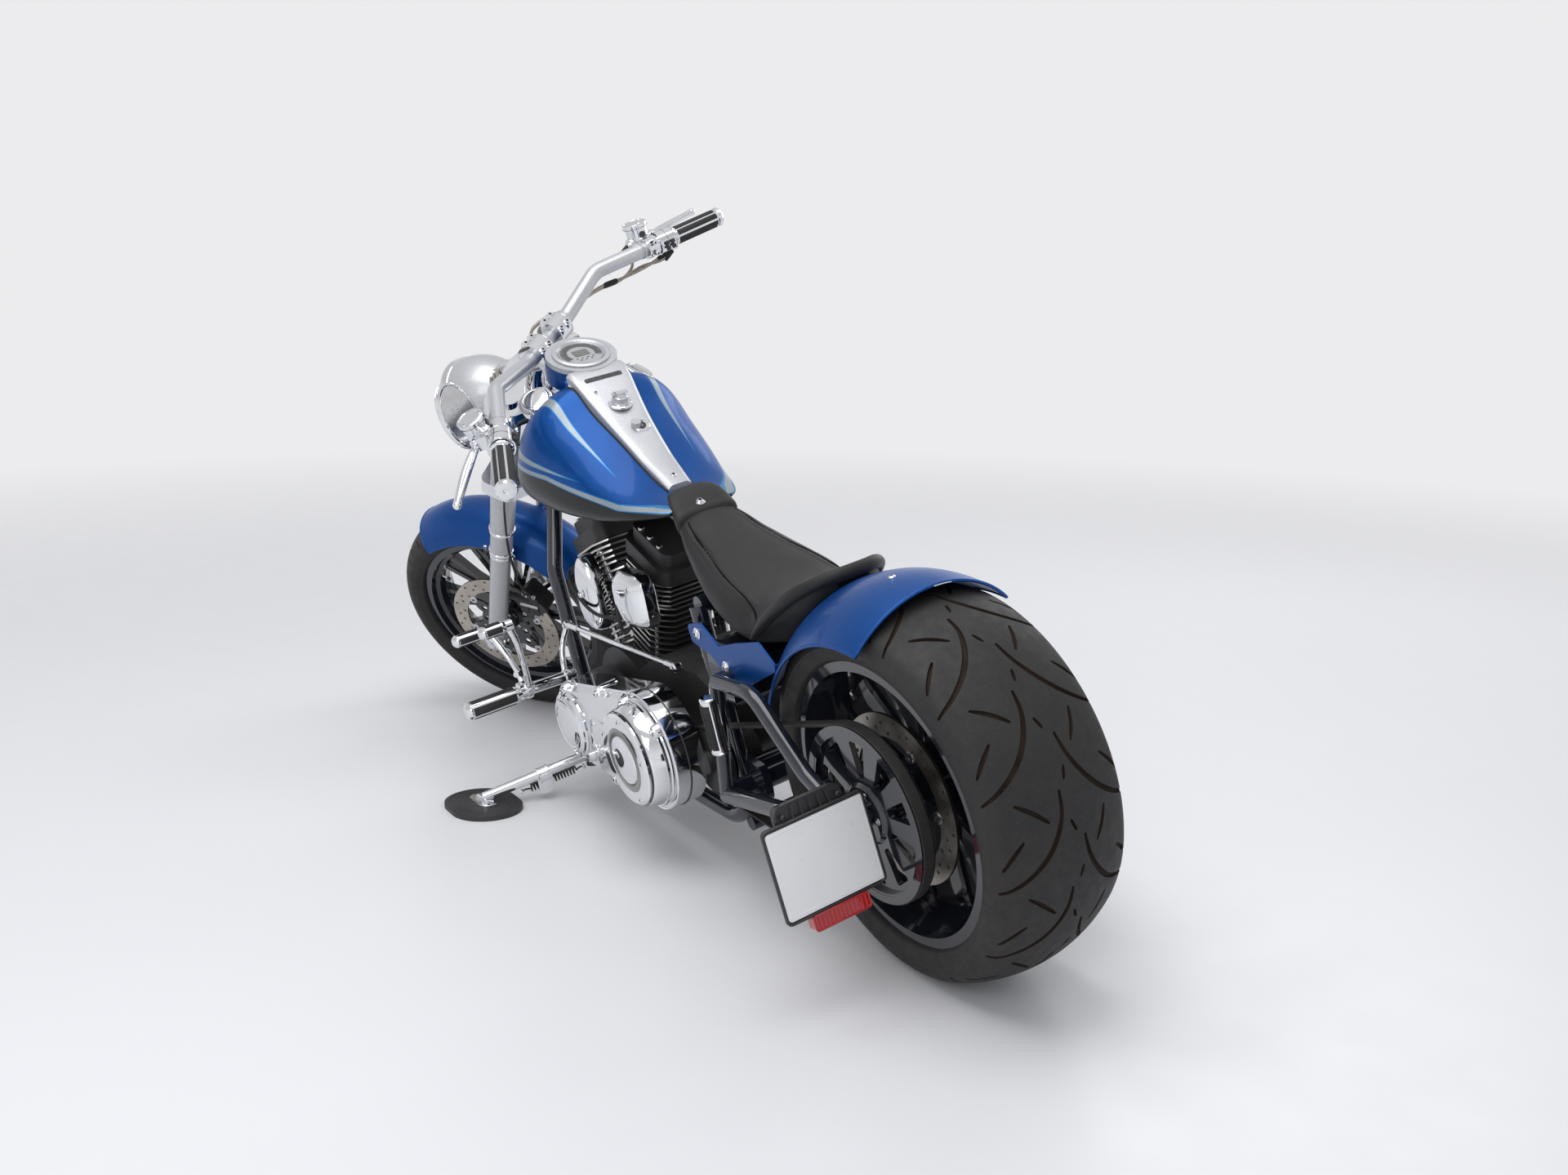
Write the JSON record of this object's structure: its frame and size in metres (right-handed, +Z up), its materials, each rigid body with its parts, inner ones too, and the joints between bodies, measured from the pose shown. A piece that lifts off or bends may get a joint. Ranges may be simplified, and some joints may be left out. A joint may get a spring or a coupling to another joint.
{
  "type": "chopper motorcycle",
  "caption": "Long low chopper motorcycle with a raked fork, V-twin engine, very wide rear tyre and solo seat, leaning on its side stand.",
  "frame": {"origin": "centre of the machine's bounding box on the floor it stands on, as it leans on its side stand", "axes": "+X forward along the rear wheel's track, +Y to the rider's left, +Z up"},
  "size_m": [2.299, 0.912, 1.2578],
  "materials": {
    "frame_black": "gloss black powder coat",
    "engine_black": "wrinkle black with bright fin edges",
    "chrome": "bright chrome plate",
    "satin_black": "satin black",
    "blue_paint": "metallic blue under clear coat",
    "silver_paint": "metallic silver under clear coat",
    "dial_black": "black dial with a pale display",
    "seat_leather": "black grained leather",
    "gloss_black": "gloss black",
    "plate_white": "white reflective plate",
    "lamp_red": "clear red lens",
    "belt_rubber": "matt toothed rubber",
    "puck_black": "black moulded plastic",
    "grip_rubber": "ribbed black rubber",
    "cable_braid": "braided steel under clear sleeve",
    "tyre_black": "black tyre rubber",
    "disc_steel": "ground steel"
  },
  "bodies": {
    "root": {"frame": "frame_black", "swingarm": "frame_black", "engine-cases": "engine_black", "cylinders": "engine_black", "rocker-covers": "engine_black", "cam-cover": "chrome", "primary-cover": "chrome", "derby-cover": "chrome", "air-cleaner": "satin_black", "chrome-covers": "chrome", "exhaust": "satin_black", "fuel-tank": "blue_paint", "console": "silver_paint", "speedometer": "dial_black", "fuel-caps": "chrome", "seat": "seat_leather", "seat-nose": "seat_leather", "rear-fender": "blue_paint", "oil-tank": "gloss_black", "plate-holder": "satin_black", "number-plate": "plate_white", "tail-lamp": "lamp_red", "foot-controls": "chrome", "foot-pegs": "chrome", "drive-belt": "belt_rubber", "rear-caliper": "satin_black", "stand-puck": "puck_black"},
    "steering": {"fork-yokes": "chrome", "fork-legs": "silver_paint", "front-fender": "blue_paint", "headlight": "silver_paint", "handlebar": "silver_paint", "grips": "grip_rubber", "hand-controls": "chrome", "mirror": "chrome", "turn-signals": "chrome", "front-caliper": "satin_black", "control-cables": "cable_braid"},
    "rear_wheel": {"rear-rim": "gloss_black", "rear-tyre": "tyre_black", "rear-disc": "disc_steel", "rear-pulley": "gloss_black"},
    "front_wheel": {"front-rim": "gloss_black", "front-tyre": "tyre_black", "front-disc": "disc_steel"},
    "side_stand": {"side-stand": "chrome"}
  },
  "joints": [
    {"name": "rear_wheel_spin", "type": "hinge", "parent": "root", "child": "rear_wheel", "pos_m": [-0.82553, -0.05007, 0.32215], "axis": [-0.0018, 0.9774, -0.2113], "continuous": true},
    {"name": "steering_turn", "type": "hinge", "parent": "root", "child": "steering", "pos_m": [0.46452, 0.05197, 0.78301], "axis": [0.5667, -0.1731, -0.8056], "range_deg": [0, 73.6]},
    {"name": "front_wheel_spin", "type": "hinge", "parent": "steering", "child": "front_wheel", "pos_m": [0.87071, -0.02096, 0.27809], "axis": [-0.495, 0.71, -0.5008], "continuous": true},
    {"name": "side_stand_fold", "type": "hinge", "parent": "root", "child": "side_stand", "pos_m": [0.21254, 0.0846, 0.09378], "axis": [0.0782, 0.2108, 0.9744], "range_deg": [0, 92]}
  ]
}
